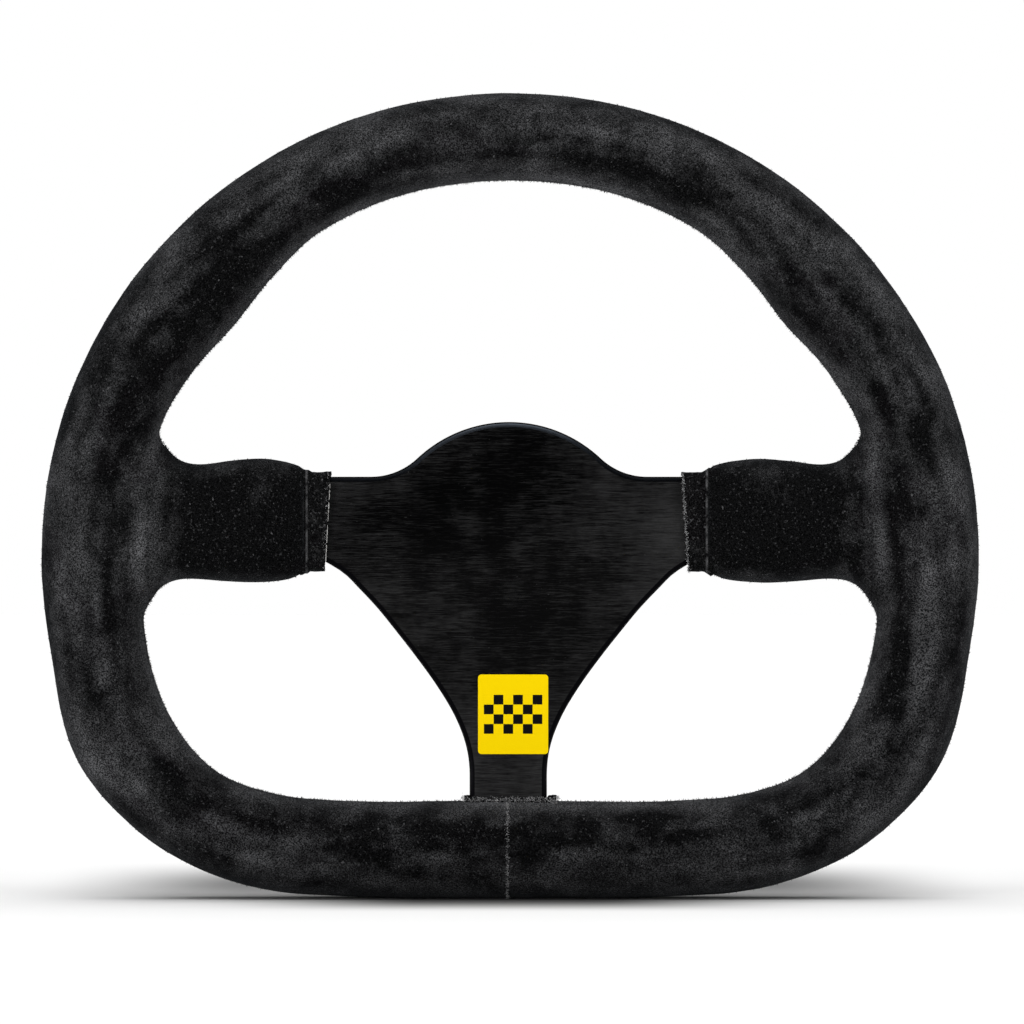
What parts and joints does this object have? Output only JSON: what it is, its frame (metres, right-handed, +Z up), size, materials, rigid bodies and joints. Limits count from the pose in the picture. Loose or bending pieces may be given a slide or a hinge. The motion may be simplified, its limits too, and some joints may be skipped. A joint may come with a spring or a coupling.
{
  "type": "quick release steering wheel",
  "caption": "Flat-bottomed suede-covered motorsport steering wheel on a blank aluminium spoke plate, with a ball-lock quick release hub behind it.",
  "frame": {"origin": "on the steering axis, at the face of the stop pad on the floor of the hub's socket", "axes": "+X to the driver's right, +Y along the steering axis away from the driver and out of the hub's socket, +Z up towards the rim's round top"},
  "size_m": [0.2496, 0.0503, 0.2145],
  "materials": {
    "suede": "black napped suede, worn smooth in patches, with a loose fibrous nap",
    "black_anodised": "black anodised over fine horizontal brushing, bevelled edges",
    "badge_film": "printed vinyl film, yellow and black chequers, satin",
    "steel": "bright zinc plated steel",
    "black_steel": "black oxide steel, lightly oiled",
    "ball_steel": "polished hardened steel",
    "red_anodised": "red anodised, satin turned surface",
    "foam": "moulded firm polyurethane foam, matt"
  },
  "bodies": {
    "wheel": {"spoke_plate": "black_anodised", "badge": "badge_film", "rim_core": "steel", "core_tab_left": "steel", "core_tab_right": "steel", "core_tab_lower": "steel", "rivet_left_outer": "steel", "rivet_left_inner": "steel", "rivet_right_inner": "steel", "rivet_right_outer": "steel", "rivet_lower_left": "steel", "rivet_lower_right": "steel", "rim_foam": "foam", "rim_cover": "suede", "spoke_wrap_left": "suede", "spoke_wrap_right": "suede", "collar_left": "suede", "collar_right": "suede", "collar_lower": "suede", "hub_body": "black_anodised", "hub_screw_1": "black_steel", "hub_screw_2": "black_steel", "hub_screw_3": "black_steel", "hub_screw_4": "black_steel", "hub_screw_5": "black_steel", "hub_screw_6": "black_steel", "release_spring": "steel", "snap_ring": "steel"},
    "sleeve": {"release_sleeve": "red_anodised"},
    "ball_1": {"lock_ball_1": "ball_steel"},
    "ball_2": {"lock_ball_2": "ball_steel"},
    "ball_3": {"lock_ball_3": "ball_steel"},
    "ball_4": {"lock_ball_4": "ball_steel"},
    "ball_5": {"lock_ball_5": "ball_steel"},
    "ball_6": {"lock_ball_6": "ball_steel"}
  },
  "joints": [
    {"name": "sleeve_pull", "type": "slide", "parent": "wheel", "child": "sleeve", "axis": [0, -1, 0], "range_m": [0, 0.006], "stiffness_N_per_m": 900, "springref_m": -0.008, "deforming": ["release_spring"]},
    {"name": "ball_1_lift", "type": "slide", "parent": "wheel", "child": "ball_1", "axis": [0.866, 0, 0.5], "range_m": [0, 0.0012]},
    {"name": "ball_2_lift", "type": "slide", "parent": "wheel", "child": "ball_2", "axis": [0, 0, 1], "range_m": [0, 0.0012]},
    {"name": "ball_3_lift", "type": "slide", "parent": "wheel", "child": "ball_3", "axis": [-0.866, 0, 0.5], "range_m": [0, 0.0012]},
    {"name": "ball_4_lift", "type": "slide", "parent": "wheel", "child": "ball_4", "axis": [-0.866, 0, -0.5], "range_m": [0, 0.0012]},
    {"name": "ball_5_lift", "type": "slide", "parent": "wheel", "child": "ball_5", "axis": [0, 0, -1], "range_m": [0, 0.0012]},
    {"name": "ball_6_lift", "type": "slide", "parent": "wheel", "child": "ball_6", "axis": [0.866, 0, -0.5], "range_m": [0, 0.0012]}
  ],
  "couplings": [
    {"joint": "ball_1_lift", "follows": "sleeve_pull", "ratio": 0.2},
    {"joint": "ball_2_lift", "follows": "sleeve_pull", "ratio": 0.2},
    {"joint": "ball_3_lift", "follows": "sleeve_pull", "ratio": 0.2},
    {"joint": "ball_4_lift", "follows": "sleeve_pull", "ratio": 0.2},
    {"joint": "ball_5_lift", "follows": "sleeve_pull", "ratio": 0.2},
    {"joint": "ball_6_lift", "follows": "sleeve_pull", "ratio": 0.2}
  ]
}
